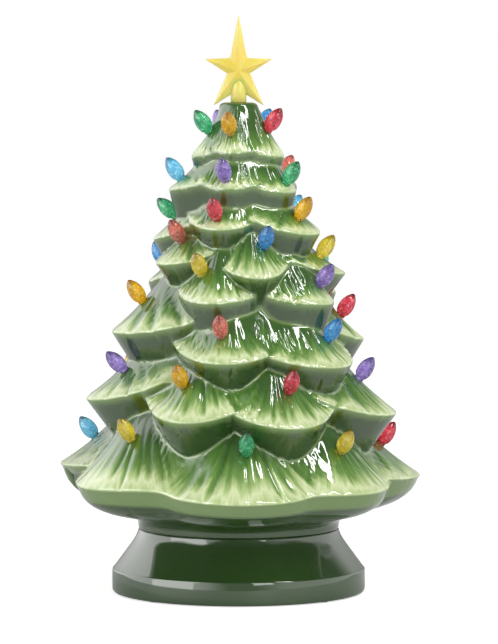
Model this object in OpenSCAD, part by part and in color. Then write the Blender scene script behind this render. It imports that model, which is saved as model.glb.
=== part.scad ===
// Tabletop ceramic christmas tree with light-up bulbs, in millimetres.
// The tree and its base are two slip castings that meet at a seam round the neck. The origin is
// the centre of the surface that the tree stands on, +Z is up and -Y is the front.

/* [Tree casting] */
// Height of the seam where the tree casting sits on the base
seam_z = 39.6; // [34:0.2:44]
// Height of the flat cap at the top of the tree casting
cap_z = 301.5; // [285:0.5:320]
// Radius of the flat cap
cap_r = 12.5; // [11:0.5:15]
// Radius, at the seam's height, of the cone that the bough tips reach
skirt_r = 128; // [120:1:136]
// Radius, at the cap's height, of the cone that the bough tips reach
crown_r = 15.7; // [14:0.1:19]
// Radius of the neck, where the two castings meet
neck_r = 61.9; // [60:0.1:64]
// Height of the straight part of the neck above the seam
neck_h = 2; // [1:0.5:4]
// Wall of the tree casting, measured level
wall = 7; // [6:0.5:8]
// Wall of the tree casting round its foot opening
foot_wall = 5.9; // [5:0.1:7]
// Thickness of the cap
cap_t = 8; // [6:0.5:10]
// Rounding of the glazed edge of a bough
lip_round = 2.6; // [1.6:0.2:3.4]

/* [Base casting] */
// Radius of the upright band round the base
base_r = 78; // [75:0.5:82]
// Height of the upright band above the foot of the casting
band_h = 14.5; // [12:0.5:16]
// Height of the straight part of the neck below the seam
base_neck_h = 3.6; // [2:0.2:5]
// Wall of the base casting
base_wall = 5.5; // [4.5:0.5:6.5]
// Rounding of the base's glazed edges
edge_round = 1.5; // [0.8:0.1:2]
// Height of the collar that centres the tree casting
collar_h = 5; // [3:0.5:7]
// Wall of the collar
collar_wall = 5; // [4:0.5:6]
// Gap between the collar and the foot opening of the tree casting
collar_gap = 0.6; // [0.4:0.1:1]
// Height of the ring that the bottom cover seats against
ledge_h = 3.5; // [2.5:0.5:5]
// Width of that ring
ledge_w = 4; // [3:0.5:5]
// Width of the foot ring between the bottom cover and the band
foot_ring_w = 12; // [10:0.5:14]

/* [Bulbs] */
// Length of a bulb from its collar's seat to its tip
bulb_l = 16.5; // [14:0.5:18]
// Widest diameter of a bulb
bulb_d = 9.6; // [8.5:0.1:10.5]
// Diameter of a bulb's collar
bulb_collar_d = 6; // [5:0.2:6.6]
// Diameter of a bulb's peg
peg_d = 3.4; // [2.8:0.2:4]
// Length of a bulb's peg
peg_l = 8.5; // [7:0.5:11]
// Gap round a peg in its hole
peg_gap = 0.25; // [0.15:0.05:0.4]
// Depth, below the glaze, of the flat on which a collar sits
pocket_depth = 1.2; // [0.8:0.1:1.6]
// Gap round a collar in its pocket
pocket_gap = 0.5; // [0.3:0.1:0.7]
// Angle of most bulbs above level, in degrees
bulb_angle = 55; // [50:1:60]

/* [Star] */
// Height of the star from its lower points to its top point
star_h = 55.8; // [48:0.2:62]
// Width of the star across its side points
star_w = 41.6; // [36:0.2:48]
// Thickness of the star at its middle
star_t = 9; // [7.5:0.5:11]
// Thickness of the star at its rim
star_rim = 2.2; // [1.6:0.2:3]
// Height of the star's lower points above or, below zero, under the cap
star_drop = -1.8; // [-3:0.1:2]
// Diameter of the star's stem
stem_d = 9.8; // [9:0.2:11]
// Height of the stem above the cap, up into the star
stem_h = 13; // [11:0.5:15]
// Diameter of the star's peg in the cap
star_peg_d = 6; // [5:0.2:7]
// Length of the star's peg
star_peg_l = 13; // [10:0.5:16]
// Gap round the star's peg
star_gap = 0.1; // [0.05:0.05:0.2]

/* [Light unit] */
// Thickness of the platform's disc
platform_t = 2.4; // [2:0.2:3]
// Radius of a platform leg
leg_r = 4; // [3.6:0.2:4.4]
// Gap between the legs and the collar
leg_gap = 2.4; // [1.5:0.1:3]
// Radius of the mast
post_r = 7; // [6.5:0.5:8]
// Height of the mast above the platform
post_h = 104; // [80:2:120]
// Height of the mast's socket
socket_h = 8; // [6:0.5:10]
// Wall of the mast's socket
socket_wall = 2.4; // [2:0.2:3]
// Width of a circuit strip
strip_w = 7; // [6.6:0.2:7.6]
// Thickness of a circuit strip
strip_t = 1; // [0.8:0.1:1.2]
// Length of a circuit strip
strip_l = 76; // [60:2:80]
// Diameter of a lamp
led_d = 5; // [4:0.5:5.5]
// Lamps on each strip
led_rows = 3; // [2:1:4]

/* [Battery box] */
// Thickness of the bottom cover
cover_t = 2.8; // [2.6:0.1:3.2]
// Depth of the cover's outer face inside the foot of the base
cover_recess = 1; // [0.8:0.1:1.4]
// Diameter of a cell
cell_d = 14.5; // [13.5:0.1:14.5]
// Length of a cell with its nub
cell_l = 50.5; // [48:0.5:50.5]
// Distance between the cells' axes
cell_pitch = 16; // [15.8:0.1:16.2]
// Room for the contacts at both ends together
contact_room = 8; // [7.5:0.5:9]
// Wall of the battery box
box_wall = 1.8; // [1.4:0.2:2]
// Thickness of the battery door
door_t = 1.2; // [1:0.1:1.3]
// Radius of the door's pivot
pivot_r = 0.9; // [0.8:0.05:1]
// Depth of the pivot's axis in the bottom cover
pivot_in = 1.4; // [1.3:0.05:1.5]
// Travel of the slide switch
switch_travel = 4; // [3:0.5:5]
// Thickness of a foot pad
pad_t = 1.5; // [1.2:0.1:2]
// Height by which a foot pad stands out of the base
pad_out = 0.5; // [0.3:0.1:0.8]
// Radius of a foot pad
pad_r = 3.5; // [3:0.1:4]

/* [Hidden] */

// Columns of the boughs' outer and inner surfaces
columns = 70;
inner_columns = 35;
// Overrun of every cut, side gap of moulded pieces and gap round pins, posts and screws
over = 1;
fit_gap = 0.3;
slip_gap = 0.1;
// Step between the foot opening and the hollow above it
step_in = 1;
// Screws: shank, head and the depth of their holes
screw_r = 1.25;
screw_head_r = 2.3;
screw_head_h = 1.5;
screw_l = 13;
board_screw_l = 5;
// Circuit board under the platform
board_x = 40;
board_y = 24;
board_t = 1.2;
board_drop = 7;
standoff_r = 2.6;
chip_x = 8;
chip_y = 6;
chip_h = 1.6;
capacitor_r = 2.5;
capacitor_h = 6;
// Insulated wires and the pitch at which they run
wire_r = 0.6;
wire_pitch = 3;
// Flats, domed top and core of the mast
flat_depth = 2;
post_dome = 3;
core_r = 3.5;
led_barrel = 3;
led_flange = 0.6;
// Rim that the battery door closes against, its pivot pins and its finger notch
door_rim = 1.6;
pin_l = 2;
notch_r = 6;
tongue_x = 12;
tongue_y = 7;
tab_t = 1;
tab_h = 2.6;
slit = 0.8;
// Cell's nub and the contacts
nub_r = 2.7;
nub_h = 1.2;
plate_t = 0.4;
plate_y = 10;
spring_r = 4.4;
spring_tip_r = 2.4;
spring_wire_r = 0.35;
spring_turns = 4;
spring_sides = 6;
spring_steps = 10;
// Slide switch and its button
switch_x = 15;
switch_y = 7.5;
switch_h = 6.5;
button_x = 3.6;
button_y = 3;
button_in = 3;
button_sink = 0.3;
terminal_r = 0.4;
terminal_h = 2.5;

// Roundness of a bough's nose, and the trunk's radius, both as shares
nose_share = 0.35;
trunk_share = 0.7;
// Slope of the casting's top under the cap, and the cap's rounded edge: radius and drop
cap_slope_share = 0.5;
cap_shares = [[0.85, 0], [0.96, 0.05], [1, 0.2]];
// Rows between a crease and the lip below it, as shares of the way down
top_shares = [0, 0.4, 0.75, 1];
// Underside of the lowest boughs, from lip to neck: run inwards and drop, as shares
underside_shares = [[0.07, 0.24], [0.22, 0.45], [0.43, 0.6], [0.62, 0.68], [0.8, 0.75],
  [0.93, 0.83], [0.99, 0.92], [1, 1]];

// The boughs, one list a tier from the top. A tier has the lift and the depth of its valleys as
// shares of its reach, the run of its undersides for each rise, and its boughs. A bough has its
// turn from the front in degrees, its lip's level and reach as shares of the cone, its half
// spread in degrees, the run of its top for each rise, its bulb's colour, the bulb's height
// above the lip as a share of the bulb's length, the bulb's turn from the ridge in degrees and,
// where it isn't the usual one, the bulb's angle.
tier_shares = [
  [0.07, 0.13, 0.28, [
    [-79, 0.878, 1.01, 36, 0.75, "green", 0.9, 0],
    [-10, 0.888, 1.00, 34, 0.60, "amber", 0.72, -4],
    [64, 0.878, 1.02, 36, 0.60, "red", 0.98, 0],
    [137, 0.882, 1.01, 36, 0.65, "blue", 0.85, 0],
    [209, 0.876, 1.02, 36, 0.70, "purple", 0.9, 0]]],
  [0.08, 0.14, 0.25, [
    [-86, 0.800, 1.13, 36, 1.20, "sky", 0.38, 0],
    [-12, 0.806, 1.03, 34, 0.80, "purple", 0.33, -2],
    [54, 0.796, 1.03, 34, 0.80, "green", 0.34, 2],
    [130, 0.800, 1.07, 37, 0.90, "coral", 0.4, 0],
    [202, 0.803, 1.05, 36, 0.90, "yellow", 0.36, 0]]],
  [0.11, 0.18, 0.55, [
    [-100, 0.681, 1.04, 38, 1.00, "green", 0.85, 0, 42],
    [-17, 0.712, 0.98, 36, 0.90, "red", 0.4, -2],
    [62, 0.698, 1.09, 38, 1.10, "amber", 0.6, -4],
    [130, 0.693, 1.03, 36, 1.00, "sky", 0.6, 0],
    [195, 0.700, 1.02, 36, 1.00, "purple", 0.6, 0]]],
  [0.09, 0.20, 0.75, [
    [-58, 0.629, 1.00, 31, 1.10, "coral", 0.85, 2],
    [13, 0.603, 1.02, 24, 0.90, "blue", 1.1, 8],
    [86, 0.602, 1.10, 32, 1.40, "yellow", 0.66, -6],
    [150, 0.612, 1.04, 32, 1.00, "red", 0.7, 0],
    [222, 0.612, 1.03, 32, 1.10, "amber", 0.8, 0]]],
  [0.05, 0.20, 0.35, [
    [-16, 0.547, 1.01, 26, 0.90, "yellow", 1.0, -11],
    [52, 0.540, 1.03, 27, 0.85, "purple", 0.66, 5],
    [122, 0.551, 1.02, 34, 1.00, "green", 0.7, 0],
    [178, 0.545, 1.00, 30, 0.95, "coral", 0.7, 0],
    [233, 0.574, 1.03, 30, 1.00, "blue", 0.7, 0]]],
  [0.08, 0.20, 0.63, [
    [-78, 0.467, 1.05, 42, 1.00, "amber", 1.15, 0],
    [-7, 0.412, 1.00, 28, 0.90, "coral", 0.97, -2],
    [46, 0.398, 1.03, 31, 1.05, "blue", 0.95, 7],
    [104, 0.442, 1.02, 28, 1.00, "red", 0.9, 0],
    [158, 0.422, 1.02, 30, 1.00, "yellow", 0.95, 0],
    [222, 0.422, 1.02, 34, 1.00, "green", 0.95, 0]]],
  [0.09, 0.18, 0.75, [
    [-78, 0.312, 1.03, 31, 1.15, "purple", 1.1, 6, 45],
    [-21, 0.280, 1.00, 24, 1.00, "amber", 1.25, -6],
    [21, 0.268, 1.01, 25, 1.00, "red", 1.25, 2],
    [75, 0.278, 1.03, 31, 1.10, "purple", 1.3, 2],
    [128, 0.284, 1.02, 27, 1.10, "green", 1.25, 0],
    [180, 0.276, 1.01, 27, 1.10, "sky", 1.25, 0],
    [232, 0.288, 1.01, 27, 1.10, "yellow", 0.9, 0]]],
  [0.02, 0.12, 1.00, [
    [-108, 0.145, 1.03, 28, 1.30, "sky", 0.98, 0, 49],
    [-56, 0.118, 0.97, 29, 0.85, "yellow", 1.79, 6],
    [2, 0.101, 0.97, 30, 0.95, "green", 1.71, 1],
    [47, 0.112, 0.95, 28, 0.90, "yellow", 1.48, -2],
    [101, 0.120, 1.00, 30, 1.25, "red", 1.19, 0],
    [153, 0.125, 1.03, 28, 1.10, "coral", 1.28, 0],
    [204, 0.132, 1.04, 27, 1.10, "purple", 1.23, 0]]],
];
tiers = len(tier_shares);

// Outline of the star, clockwise from its top point: across and up, as shares
star_shares = [[0, 1], [0.125, 0.52], [0.5, 0.51], [0.17, 0.352], [0.37, 0], [0, 0.17],
  [-0.37, 0], [-0.17, 0.352], [-0.5, 0.51], [-0.125, 0.52]];
// Middle of the star above its lower points, as a share of its height
star_middle_share = 0.38;
// Outline of a bulb above its collar: radius and height, as shares
bulb_shares = [[0.82, 0.08], [0.94, 0.19], [1, 0.33], [0.98, 0.47], [0.89, 0.61],
  [0.72, 0.75], [0.48, 0.87], [0.24, 0.96], [0, 1]];
// Height of a bulb's collar as a share of its length
bulb_collar_share = 0.09;

// Levels that follow one another up through the base
foot_z = pad_out;
cover_r = base_r - foot_ring_w;
cover_z = foot_z + cover_recess;
cover_top = cover_z + cover_t;
collar_top = seam_z + collar_h;
platform_top = collar_top + platform_t;
foot_bore_r = neck_r - foot_wall;
collar_r = foot_bore_r - collar_gap;
collar_in_r = collar_r - collar_wall;
leg_at = collar_in_r - leg_gap - leg_r;

// Inside of the battery box
room_x = cell_l + contact_room;
room_y = cell_d + 2 * cell_pitch + 2 * fit_gap;
cell_z = cover_top + fit_gap + cell_d / 2;
room_top = cell_z + cell_d / 2 + fit_gap;
box_x = room_x + 2 * box_wall;
box_y = room_y + 2 * box_wall;
box_top = room_top + box_wall;
pivot_y = pivot_in - room_y / 2;
pivot_z = cover_z + pivot_in;
pivot_room = pivot_in + fit_gap;
switch_at = -(box_y / 2 + cover_r) / 2;
board_top = collar_top - board_drop;
board_under = board_top - board_t;
strip_foot = platform_top + socket_h + post_dome;

// Height on the tree for a share of its casting's height, and the tip cone's radius there
function level(share) = seam_z + share * (cap_z - seam_z);
function cone_r(z) = skirt_r + (crown_r - skirt_r) * (z - seam_z) / (cap_z - seam_z);
// Turn from b to a, in degrees, the short way round
function turn_from(a, b) = (a - b + 900) % 360 - 180;
// Fall of a bough's plan from its nose to its valley, from 0 to 1
function nose(t) = (sqrt(t * t + nose_share * nose_share) - nose_share)
  / (sqrt(1 + nose_share * nose_share) - nose_share);
// Lip of a bough at a turn: its radius, its height and the run of the top above it
function lip(tier, b, a) = let(t = turn_from(a, b[0]) / b[3], z = level(b[1]), r = cone_r(z))
  [r * (b[2] - tier[1] * nose(t)), z + r * tier[0] * min(t * t, 1.6), b[4]];
// Lesser of two radii, rounded where they cross
function soft_min(a, b, k) = let(h = max(k - abs(a - b), 0) / k) min(a, b) - h * h * k / 4;
function bough_r(tier, b, a, z) = let(p = lip(tier, b, a))
  soft_min(p[0] - b[4] * (z - p[1]), p[0] - tier[2] * (p[1] - z), lip_round);
// Lip that reaches furthest of a tier's boughs at a turn
function tier_lip(tier, a) = let(ps = [for (b = tier[3]) lip(tier, b, a)],
  far = max([for (p = ps) p[0]])) [for (p = ps) if (p[0] == far) p][0];
// Outer radius of the glazed form at a turn and a height, near tier k
function outer_r(a, z, k) = max(trunk_share * cone_r(z),
  max([for (j = [max(k - 2, 0):min(k + 1, tiers - 1)]) for (b = tier_shares[j][3])
    bough_r(tier_shares[j], b, a, z)]));
// Rounded edge of the cap
cap_edges = [for (s = cap_shares) [s[0] * cap_r, cap_z - s[1] * cap_r]];
cap_edge = cap_edges[len(cap_edges) - 1];
// Height of the crease between a tier's tops and the undersides above it
function crease_z(low, high, k) =
  let(u = k == 0 ? cap_slope_share : tier_shares[k - 1][2], z1 = high[1] - lip_round,
      z9 = low[1] + lip_round, z = (low[0] + low[2] * low[1] - high[0] + u * high[1]) / (low[2] + u))
  max(z9 + 0.15 * (z1 - z9), min(z1 - 0.2 * (z1 - z9), z));
function lip_above(lips, k) = k == 0 ? cap_edge : lips[k - 1];
// Point at a turn from the front, radius and height
function at(a, r, z) = [r * sin(a), -r * cos(a), z];

// Closed skin over columns of points that run from the top down, all round
module skin(profiles, turns, top, bottom) {
  n = len(profiles);
  m = len(profiles[0]);
  polyhedron(
    points = concat([for (i = [0:n - 1]) for (p = profiles[i]) at(turns[i], p[0], p[1])],
      [[0, 0, top], [0, 0, bottom]]),
    faces = concat(
      [for (i = [0:n - 1]) for (j = [0:m - 2]) let(a = i * m + j, b = (i + 1) % n * m + j)
        each [[a, b + 1, a + 1], [a, b, b + 1]]],
      [for (i = [0:n - 1]) [n * m, (i + 1) % n * m, i * m]],
      [for (i = [0:n - 1]) [n * m + 1, i * m + m - 1, (i + 1) % n * m + m - 1]]));
}

// Glazed outside of the tree: rows follow the lips and the creases of every tier
module outer_form() {
  turns = [for (i = [0:columns - 1]) i * 360 / columns];
  skin([for (a = turns) let(lips = [for (t = tier_shares) tier_lip(t, a)],
      foot = lips[tiers - 1], r0 = outer_r(a, foot[1], tiers - 1))
    concat(
      cap_edges,
      [for (k = [0:tiers - 1]) let(low = lips[k], high = lip_above(lips, k),
          z1 = high[1] - lip_round, z9 = low[1] + lip_round, zc = crease_z(low, high, k))
        for (z = concat([z1, (z1 + zc) / 2], [for (s = top_shares) zc + s * (z9 - zc)], [low[1]]))
          [outer_r(a, z, k), z]],
      [for (s = underside_shares)
        [r0 + s[0] * (neck_r - r0), foot[1] + s[1] * (seam_z + neck_h - foot[1])]],
      [[neck_r, seam_z]])],
    turns, cap_z, seam_z);
}

// Hollow of the tree, which follows the boughs at the wall's distance
module inner_form() {
  step = 360 / inner_columns;
  turns = [for (i = [0:inner_columns - 1]) i * step];
  floor_z = seam_z + neck_h + wall / 2;
  skin([for (a = turns) let(lips = [for (t = tier_shares) tier_lip(t, a)])
    concat(
      [for (k = [0:tiers - 1]) let(low = lips[k], high = lip_above(lips, k))
        for (z = [crease_z(low, high, k), low[1]])
          [max(cap_r - wall / 2, min([for (d = [-step:step / 2:step])
            for (e = [-wall / 2, 0, wall / 2]) outer_r(a + d, z + e, k)]) - 0.8 * wall), z]],
      [[foot_bore_r - step_in, floor_z + wall], [foot_bore_r - step_in, floor_z]])],
    turns, cap_z - cap_t, floor_z);
}

// Puts its children at a bough's bulb seat, with their +Z along the bulb
module at_bulb(k, b) {
  turn = b[0] + b[7];
  z = level(b[1]) + b[6] * bulb_l;
  angle = len(b) > 8 ? b[8] : bulb_angle;
  p = at(turn, outer_r(turn, z, k), z);
  translate(p) rotate([0, 0, turn]) rotate([90 - angle, 0, 0]) translate([0, 0, -pocket_depth])
    children();
}

module tree_shell() {
  color("forestgreen") difference() {
    outer_form();
    inner_form();
    translate([0, 0, seam_z - over])
      cylinder(r = foot_bore_r, h = neck_h + wall + over, $fn = 96);
    translate([0, 0, cap_z - cap_t - over])
      cylinder(d = star_peg_d + 2 * star_gap, h = cap_t + 2 * over, $fn = 48);
    for (k = [0:tiers - 1]) for (b = tier_shares[k][3]) at_bulb(k, b) bulb_hole();
  }
}

// Hole for a peg, with the flat that the collar sits on and room for the bulb above it
module bulb_hole() {
  peg_r = peg_d / 2 + peg_gap;
  pocket_r = bulb_collar_d / 2 + pocket_gap;
  room_r = bulb_d / 2 + pocket_gap;
  rotate_extrude($fn = 32) polygon([[0, -2 * wall], [peg_r, -2 * wall], [peg_r, 0], [pocket_r, 0],
    [pocket_r, pocket_depth], [room_r, pocket_depth + room_r - pocket_r], [room_r, bulb_l],
    [0, bulb_l]]);
}

// One bulb with its collar and peg, standing on its collar's seat
module bulb() {
  collar = bulb_collar_share * bulb_l;
  rotate_extrude($fn = 32) polygon(concat(
    [[0, -peg_l], [peg_d / 2, -peg_l], [peg_d / 2, 0], [bulb_collar_d / 2, 0],
     [bulb_collar_d / 2, collar]],
    [for (s = bulb_shares) [s[0] * bulb_d / 2, collar + s[1] * (bulb_l - collar)]]));
}

module bulbs(name, tint) {
  color(tint) for (k = [0:tiers - 1]) for (b = tier_shares[k][3]) if (b[5] == name)
    at_bulb(k, b) bulb();
}

module base() {
  inner_r = base_r - base_wall;
  cone_top = seam_z - base_neck_h;
  band_top = foot_z + band_h;
  ledge_z = cover_top;
  color("darkgreen") difference() {
    rotate_extrude($fn = 128) polygon([
      [cover_r + fit_gap, foot_z], [base_r - edge_round, foot_z], [base_r, foot_z + edge_round],
      [base_r, band_top - edge_round / 2], [base_r - edge_round / 2, band_top],
      [neck_r + edge_round / 2, cone_top - edge_round / 2], [neck_r, cone_top + edge_round / 2],
      [neck_r, seam_z - edge_round / 3], [neck_r - edge_round / 3, seam_z],
      [collar_r, seam_z], [collar_r, collar_top], [collar_in_r, collar_top],
      [collar_in_r, cone_top - base_wall], [inner_r, band_top - base_wall / 2],
      [inner_r, ledge_z + ledge_h + base_wall / 2], [cover_r - ledge_w, ledge_z + ledge_h],
      [cover_r - ledge_w, ledge_z], [cover_r + fit_gap, ledge_z]]);
    at_pads() translate([0, 0, -over]) cylinder(r = pad_r + fit_gap, h = pad_t + over, $fn = 32);
  }
}

// Middle of the foot ring, where the pads sit
module at_pads() {
  ring_r = (cover_r + fit_gap + base_r - edge_round) / 2;
  for (a = [45:90:315]) translate(at(a, ring_r, 0)) children();
}

module foot_pads() {
  color("gainsboro") at_pads() cylinder(r = pad_r, h = pad_t, $fn = 32);
}

module star() {
  low = cap_z + star_drop;
  n = len(star_shares);
  rim = [for (s = star_shares) [s[0] * star_w, s[1] * star_h + low]];
  middle = low + star_middle_share * star_h;
  color("khaki") union() {
    polyhedron(
      points = concat([for (p = rim) [p[0], -star_rim / 2, p[1]]],
        [for (p = rim) [p[0], star_rim / 2, p[1]]],
        [[0, -star_t / 2, middle], [0, star_t / 2, middle]]),
      faces = [for (i = [0:n - 1]) let(j = (i + 1) % n)
        each [[2 * n, i, j], [2 * n + 1, n + j, n + i], [i, n + i, n + j], [i, n + j, j]]]);
    translate([0, 0, cap_z]) cylinder(d = stem_d, h = stem_h, $fn = 48);
    translate([0, 0, cap_z - star_peg_l]) cylinder(d = star_peg_d, h = star_peg_l, $fn = 48);
  }
}

// Turns of the platform's three legs, and of the mast's three strips
leg_turns = [27, 180, 333];
strip_turns = [0, 120, 240];

module at_legs(z) {
  for (a = leg_turns) translate(at(a, leg_at, z)) children();
}

module at_board_screws(z) {
  for (x = [-1, 1]) translate([x * (board_x / 2 - 2 * standoff_r), 0, z]) children();
}

// Disc on the base's collar, with the mast's socket, the board's standoffs and three long legs
module light_platform() {
  color("white") difference() {
    union() {
      translate([0, 0, collar_top]) cylinder(r = collar_r - fit_gap, h = platform_t, $fn = 96);
      translate([0, 0, platform_top])
        cylinder(r = post_r + slip_gap + socket_wall, h = socket_h, $fn = 64);
      at_legs(cover_top) cylinder(r = leg_r, h = collar_top + platform_t / 2 - cover_top, $fn = 32);
      at_board_screws(board_top)
        cylinder(r = standoff_r, h = board_drop + platform_t / 2, $fn = 32);
    }
    translate([0, 0, platform_top])
      cylinder(r = post_r + slip_gap, h = socket_h + over, $fn = 64);
    translate([0, 0, collar_top - over])
      cylinder(r = core_r, h = platform_t + 2 * over, $fn = 48);
    at_legs(cover_top - over)
      cylinder(r = screw_r + slip_gap, h = screw_l - cover_t + 2 * over, $fn = 24);
    at_board_screws(board_top - over)
      cylinder(r = screw_r + slip_gap, h = board_screw_l + over, $fn = 24);
  }
}

// Mast with a domed top, a core for its wires and three flats for the strips
module led_post() {
  color("white") difference() {
    translate([0, 0, platform_top]) rotate_extrude($fn = 64) polygon([
      [core_r, 0], [post_r, 0], [post_r, post_h - post_dome],
      [post_r - post_dome / 3, post_h - post_dome / 3], [post_r - post_dome, post_h], [0, post_h],
      [0, post_h - post_dome], [core_r, post_h - post_dome]]);
    for (a = strip_turns) rotate([0, 0, a])
      translate([-post_r, -post_r - over, strip_foot - fit_gap])
        cube([2 * post_r, flat_depth + over, strip_l + 2 * fit_gap]);
  }
}

module at_strip(a) {
  rotate([0, 0, a]) translate([0, flat_depth - post_r, strip_foot]) children();
}

module led_strips() {
  color("honeydew") for (a = strip_turns) at_strip(a)
    translate([-strip_w / 2, -strip_t, 0]) cube([strip_w, strip_t, strip_l]);
}

// Domed lamps on the strips, pointing outwards
module leds() {
  color("lightyellow") for (a = strip_turns) at_strip(a) for (i = [0:led_rows - 1])
    translate([0, -strip_t, (i + 0.5) * strip_l / led_rows]) rotate([90, 0, 0])
      rotate_extrude($fn = 32) polygon(concat(
        [[0, 0], [led_d / 2 + led_flange, 0], [led_d / 2 + led_flange, led_flange],
         [led_d / 2, led_flange]],
        [for (t = [0:15:90]) [led_d / 2 * cos(t), led_barrel + led_d / 2 * sin(t)]]));
}

module driver_board() {
  color("seagreen") difference() {
    translate([-board_x / 2, -board_y / 2, board_under]) cube([board_x, board_y, board_t]);
    at_board_screws(board_under - over)
      cylinder(r = screw_r + slip_gap, h = board_t + 2 * over, $fn = 24);
  }
}

// Timer chip and two capacitors under the board
module board_parts() {
  color("dimgray") {
    translate([-chip_x / 2, -chip_y / 2, board_under - chip_h])
      cube([chip_x, chip_y, chip_h]);
    for (x = [-1, 1]) translate([x * board_x / 6, -board_y / 4, board_under - capacitor_h])
      cylinder(r = capacitor_r, h = capacitor_h, $fn = 32);
  }
}

// Screw with its head at z = 0 and its shank upwards
module screw(length) {
  cylinder(r = screw_r, h = length, $fn = 24);
  translate([0, 0, -screw_head_h]) cylinder(r = screw_head_r, h = screw_head_h, $fn = 24);
}

module board_screws() {
  color("silver") at_board_screws(board_under) screw(board_screw_l);
}

// Two wires from the battery box to the board and two from the board up into the mast
module lead_wires() {
  color("firebrick") for (x = [-1, 1]) {
    translate([x * wire_pitch, board_y / 2 - wire_pitch, room_top])
      cylinder(r = wire_r, h = board_under - room_top, $fn = 16);
    translate([x * wire_pitch / 2, 0, board_top])
      cylinder(r = wire_r, h = strip_foot + wire_pitch - board_top, $fn = 16);
  }
}

// Disc that closes the foot, with the battery box moulded on its back
module bottom_cover() {
  open_x = room_x - 2 * door_rim;
  open_y = room_y - 2 * door_rim;
  color("ivory") difference() {
    union() {
      translate([0, 0, cover_z]) cylinder(r = cover_r, h = cover_t, $fn = 128);
      translate([-box_x / 2, -box_y / 2, cover_top - cover_t / 2])
        cube([box_x, box_y, box_top - cover_top + cover_t / 2]);
    }
    difference() {
      translate([-room_x / 2, -room_y / 2, cover_top])
        cube([room_x, room_y, room_top - cover_top]);
      for (y = [-1, 1]) translate([-room_x / 4, y * cell_pitch / 2 - slit / 2, room_top - cell_d / 3])
        cube([room_x / 2, slit, cell_d / 3 + over]);
    }
    translate([-open_x / 2, -open_y / 2, cover_z - over])
      cube([open_x, open_y, cover_t + 2 * over]);
    translate([-room_x / 2 - fit_gap, pivot_y, cover_z - over])
      cube([room_x + 2 * fit_gap, room_y / 2 + fit_gap - pivot_y, door_t + over]);
    translate([-room_x / 2 - fit_gap, pivot_y, pivot_z]) rotate([0, 90, 0])
      cylinder(r = pivot_room, h = room_x + 2 * fit_gap, $fn = 48);
    translate([-room_x / 2 - fit_gap, pivot_y - pivot_room, cover_z - over])
      cube([room_x + 2 * fit_gap, 2 * pivot_room, pivot_in + over]);
    translate([-room_x / 2 - pin_l - fit_gap, pivot_y, pivot_z]) rotate([0, 90, 0])
      cylinder(r = pivot_r + slip_gap, h = room_x + 2 * (pin_l + fit_gap), $fn = 32);
    translate([0, room_y / 2, cover_z - over]) cylinder(r = notch_r, h = door_t + over, $fn = 48);
    at_legs(cover_z - over)
      cylinder(r = screw_head_r + fit_gap, h = screw_head_h + over, $fn = 32);
    at_legs(cover_z - over) cylinder(r = screw_r + fit_gap, h = cover_t + 2 * over, $fn = 32);
    translate([-(button_x + switch_travel) / 2 - fit_gap, switch_at - button_y / 2 - fit_gap,
        cover_z - over])
      cube([button_x + switch_travel + 2 * fit_gap, button_y + 2 * fit_gap, cover_t + 2 * over]);
    for (x = [-1, 1]) translate([x * wire_pitch, board_y / 2 - wire_pitch, room_top - over])
      cylinder(r = wire_r + slip_gap, h = box_wall + 2 * over, $fn = 16);
  }
}

module cover_screws() {
  color("silver") at_legs(cover_z + screw_head_h) screw(screw_l - screw_head_h);
}

// Door with a round pivot edge, two pins and, at its free edge, a spring tongue whose tab grips
// the rim
module battery_door() {
  color("ivory") difference() {
    union() {
      translate([-room_x / 2, pivot_y, cover_z]) cube([room_x, room_y / 2 - pivot_y, door_t]);
      translate([-tongue_x / 2 + slit, room_y / 2 - door_rim - fit_gap - tab_t, cover_z])
        cube([tongue_x - 2 * slit, tab_t, door_t + tab_h]);
      translate([-room_x / 2 - pin_l, pivot_y, pivot_z]) rotate([0, 90, 0])
        cylinder(r = pivot_r, h = room_x + 2 * pin_l, $fn = 32);
    }
    for (x = [-1, 1]) translate([x * tongue_x / 2 - slit / 2, room_y / 2 - tongue_y, cover_z - over])
      cube([slit, tongue_y + over, door_t + 2 * over]);
  }
}

// Ends of the three cells that have the nub: they take turns
function nub_side(i) = i % 2 == 0 ? 1 : -1;

module at_cell(i) {
  translate([0, (i - 1) * cell_pitch, cell_z]) rotate([0, 0, nub_side(i) > 0 ? 0 : 180])
    children();
}

module cells() {
  nub_end = room_x / 2 - plate_t;
  color("dimgray") for (i = [0:2]) at_cell(i) translate([nub_end - cell_l, 0, 0])
    rotate([0, 90, 0]) {
      cylinder(d = cell_d, h = cell_l - nub_h, $fn = 48);
      cylinder(r = nub_r, h = cell_l, $fn = 32);
    }
}

// Plates against the box's end walls: a double and a single at each end
module contact_plates() {
  color("silver") for (side = [-1, 1]) for (span = [[-1, 0], [1, 1]])
    let(y0 = side * span[0] * cell_pitch, y1 = side * span[1] * cell_pitch)
    translate([side > 0 ? room_x / 2 - plate_t : -room_x / 2, min(y0, y1) - plate_y / 2,
        cell_z - plate_y / 2])
      cube([plate_t, abs(y1 - y0) + plate_y, plate_y]);
}

// Conical coil of wire along +X: its rings stand in planes through the coil's axis
module spring(length) {
  m = spring_turns * spring_steps;
  k = spring_sides;
  run = length - 2 * spring_wire_r;
  polyhedron(
    points = [for (i = [0:m]) let(a = i * 360 / spring_steps,
        r = spring_r + (spring_tip_r - spring_r) * i / m)
      for (j = [0:k - 1]) let(b = j * 360 / k, q = r + spring_wire_r * cos(b))
        [spring_wire_r + run * i / m + spring_wire_r * sin(b), q * cos(a), q * sin(a)]],
    faces = concat(
      [for (i = [0:m - 1]) for (j = [0:k - 1]) let(a = i * k + j, b = i * k + (j + 1) % k)
        each [[a, b, b + k], [a, b + k, a + k]]],
      [for (j = [1:k - 2]) [0, j + 1, j]],
      [for (j = [1:k - 2]) [m * k, m * k + j, m * k + j + 1]]));
}

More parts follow.
